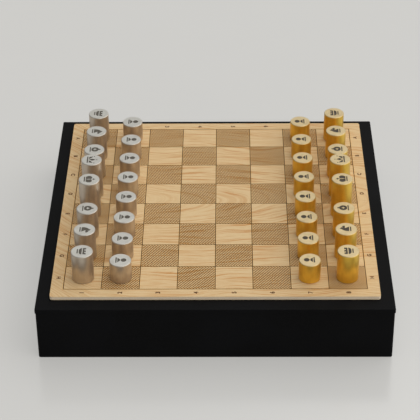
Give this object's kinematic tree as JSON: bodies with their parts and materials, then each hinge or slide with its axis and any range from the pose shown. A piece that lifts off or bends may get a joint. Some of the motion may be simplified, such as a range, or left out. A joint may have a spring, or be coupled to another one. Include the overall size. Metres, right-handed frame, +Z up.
{
  "type": "chess set",
  "caption": "Plain turned silver and brass chess men with engraved figures on their tops, set out on an engraved plywood board that lies on its black storage case.",
  "frame": {"origin": "middle of the case's underside", "axes": "+Z up; +X from the silver side to the brass side, along the ranks; +Y towards the a-file, at the back of the pictured view"},
  "size_m": [0.324, 0.324, 0.0985],
  "materials": {
    "satin_aluminium": "satin turned, figures filled dark grey",
    "satin_brass": "satin turned, figures filled black",
    "pine_plywood": "bare sanded plywood with burnt engraving",
    "black_wrap": "matte black textured paper over rigid board",
    "lining_paper": "smooth matte black paper over board",
    "black_foam": "cut closed-cell foam"
  },
  "bodies": {
    "case": {"case_tray": "black_wrap", "foam_insert": "black_foam"},
    "lid": {"case_lid": "black_wrap", "lid_locating_panel": "lining_paper"},
    "board": {"board": "pine_plywood"},
    "silver_rook_a": {"silver_rook_a": "satin_aluminium"},
    "silver_knight_b": {"silver_knight_b": "satin_aluminium"},
    "silver_bishop_c": {"silver_bishop_c": "satin_aluminium"},
    "silver_queen": {"silver_queen": "satin_aluminium"},
    "silver_king": {"silver_king": "satin_aluminium"},
    "silver_bishop_f": {"silver_bishop_f": "satin_aluminium"},
    "silver_knight_g": {"silver_knight_g": "satin_aluminium"},
    "silver_rook_h": {"silver_rook_h": "satin_aluminium"},
    "silver_pawn_a": {"silver_pawn_a": "satin_aluminium"},
    "silver_pawn_b": {"silver_pawn_b": "satin_aluminium"},
    "silver_pawn_c": {"silver_pawn_c": "satin_aluminium"},
    "silver_pawn_d": {"silver_pawn_d": "satin_aluminium"},
    "silver_pawn_e": {"silver_pawn_e": "satin_aluminium"},
    "silver_pawn_f": {"silver_pawn_f": "satin_aluminium"},
    "silver_pawn_g": {"silver_pawn_g": "satin_aluminium"},
    "silver_pawn_h": {"silver_pawn_h": "satin_aluminium"},
    "brass_rook_a": {"brass_rook_a": "satin_brass"},
    "brass_knight_b": {"brass_knight_b": "satin_brass"},
    "brass_bishop_c": {"brass_bishop_c": "satin_brass"},
    "brass_queen": {"brass_queen": "satin_brass"},
    "brass_king": {"brass_king": "satin_brass"},
    "brass_bishop_f": {"brass_bishop_f": "satin_brass"},
    "brass_knight_g": {"brass_knight_g": "satin_brass"},
    "brass_rook_h": {"brass_rook_h": "satin_brass"},
    "brass_pawn_a": {"brass_pawn_a": "satin_brass"},
    "brass_pawn_b": {"brass_pawn_b": "satin_brass"},
    "brass_pawn_c": {"brass_pawn_c": "satin_brass"},
    "brass_pawn_d": {"brass_pawn_d": "satin_brass"},
    "brass_pawn_e": {"brass_pawn_e": "satin_brass"},
    "brass_pawn_f": {"brass_pawn_f": "satin_brass"},
    "brass_pawn_g": {"brass_pawn_g": "satin_brass"},
    "brass_pawn_h": {"brass_pawn_h": "satin_brass"}
  },
  "joints": [
    {"name": "lid_lift", "type": "slide", "parent": "case", "child": "lid", "axis": [0, 0, 1], "range_m": [0, 0.1]},
    {"name": "board_lift", "type": "slide", "parent": "lid", "child": "board", "axis": [0, 0, 1], "range_m": [0, 0.03]},
    {"name": "silver_rook_a_lift", "type": "slide", "parent": "board", "child": "silver_rook_a", "axis": [0, 0, 1], "range_m": [0, 0.045]},
    {"name": "silver_knight_b_lift", "type": "slide", "parent": "board", "child": "silver_knight_b", "axis": [0, 0, 1], "range_m": [0, 0.045]},
    {"name": "silver_bishop_c_lift", "type": "slide", "parent": "board", "child": "silver_bishop_c", "axis": [0, 0, 1], "range_m": [0, 0.045]},
    {"name": "silver_queen_lift", "type": "slide", "parent": "board", "child": "silver_queen", "axis": [0, 0, 1], "range_m": [0, 0.045]},
    {"name": "silver_king_lift", "type": "slide", "parent": "board", "child": "silver_king", "axis": [0, 0, 1], "range_m": [0, 0.045]},
    {"name": "silver_bishop_f_lift", "type": "slide", "parent": "board", "child": "silver_bishop_f", "axis": [0, 0, 1], "range_m": [0, 0.045]},
    {"name": "silver_knight_g_lift", "type": "slide", "parent": "board", "child": "silver_knight_g", "axis": [0, 0, 1], "range_m": [0, 0.045]},
    {"name": "silver_rook_h_lift", "type": "slide", "parent": "board", "child": "silver_rook_h", "axis": [0, 0, 1], "range_m": [0, 0.045]},
    {"name": "silver_pawn_a_lift", "type": "slide", "parent": "board", "child": "silver_pawn_a", "axis": [0, 0, 1], "range_m": [0, 0.045]},
    {"name": "silver_pawn_b_lift", "type": "slide", "parent": "board", "child": "silver_pawn_b", "axis": [0, 0, 1], "range_m": [0, 0.045]},
    {"name": "silver_pawn_c_lift", "type": "slide", "parent": "board", "child": "silver_pawn_c", "axis": [0, 0, 1], "range_m": [0, 0.045]},
    {"name": "silver_pawn_d_lift", "type": "slide", "parent": "board", "child": "silver_pawn_d", "axis": [0, 0, 1], "range_m": [0, 0.045]},
    {"name": "silver_pawn_e_lift", "type": "slide", "parent": "board", "child": "silver_pawn_e", "axis": [0, 0, 1], "range_m": [0, 0.045]},
    {"name": "silver_pawn_f_lift", "type": "slide", "parent": "board", "child": "silver_pawn_f", "axis": [0, 0, 1], "range_m": [0, 0.045]},
    {"name": "silver_pawn_g_lift", "type": "slide", "parent": "board", "child": "silver_pawn_g", "axis": [0, 0, 1], "range_m": [0, 0.045]},
    {"name": "silver_pawn_h_lift", "type": "slide", "parent": "board", "child": "silver_pawn_h", "axis": [0, 0, 1], "range_m": [0, 0.045]},
    {"name": "brass_rook_a_lift", "type": "slide", "parent": "board", "child": "brass_rook_a", "axis": [0, 0, 1], "range_m": [0, 0.045]},
    {"name": "brass_knight_b_lift", "type": "slide", "parent": "board", "child": "brass_knight_b", "axis": [0, 0, 1], "range_m": [0, 0.045]},
    {"name": "brass_bishop_c_lift", "type": "slide", "parent": "board", "child": "brass_bishop_c", "axis": [0, 0, 1], "range_m": [0, 0.045]},
    {"name": "brass_queen_lift", "type": "slide", "parent": "board", "child": "brass_queen", "axis": [0, 0, 1], "range_m": [0, 0.045]},
    {"name": "brass_king_lift", "type": "slide", "parent": "board", "child": "brass_king", "axis": [0, 0, 1], "range_m": [0, 0.045]},
    {"name": "brass_bishop_f_lift", "type": "slide", "parent": "board", "child": "brass_bishop_f", "axis": [0, 0, 1], "range_m": [0, 0.045]},
    {"name": "brass_knight_g_lift", "type": "slide", "parent": "board", "child": "brass_knight_g", "axis": [0, 0, 1], "range_m": [0, 0.045]},
    {"name": "brass_rook_h_lift", "type": "slide", "parent": "board", "child": "brass_rook_h", "axis": [0, 0, 1], "range_m": [0, 0.045]},
    {"name": "brass_pawn_a_lift", "type": "slide", "parent": "board", "child": "brass_pawn_a", "axis": [0, 0, 1], "range_m": [0, 0.045]},
    {"name": "brass_pawn_b_lift", "type": "slide", "parent": "board", "child": "brass_pawn_b", "axis": [0, 0, 1], "range_m": [0, 0.045]},
    {"name": "brass_pawn_c_lift", "type": "slide", "parent": "board", "child": "brass_pawn_c", "axis": [0, 0, 1], "range_m": [0, 0.045]},
    {"name": "brass_pawn_d_lift", "type": "slide", "parent": "board", "child": "brass_pawn_d", "axis": [0, 0, 1], "range_m": [0, 0.045]},
    {"name": "brass_pawn_e_lift", "type": "slide", "parent": "board", "child": "brass_pawn_e", "axis": [0, 0, 1], "range_m": [0, 0.045]},
    {"name": "brass_pawn_f_lift", "type": "slide", "parent": "board", "child": "brass_pawn_f", "axis": [0, 0, 1], "range_m": [0, 0.045]},
    {"name": "brass_pawn_g_lift", "type": "slide", "parent": "board", "child": "brass_pawn_g", "axis": [0, 0, 1], "range_m": [0, 0.045]},
    {"name": "brass_pawn_h_lift", "type": "slide", "parent": "board", "child": "brass_pawn_h", "axis": [0, 0, 1], "range_m": [0, 0.045]}
  ]
}
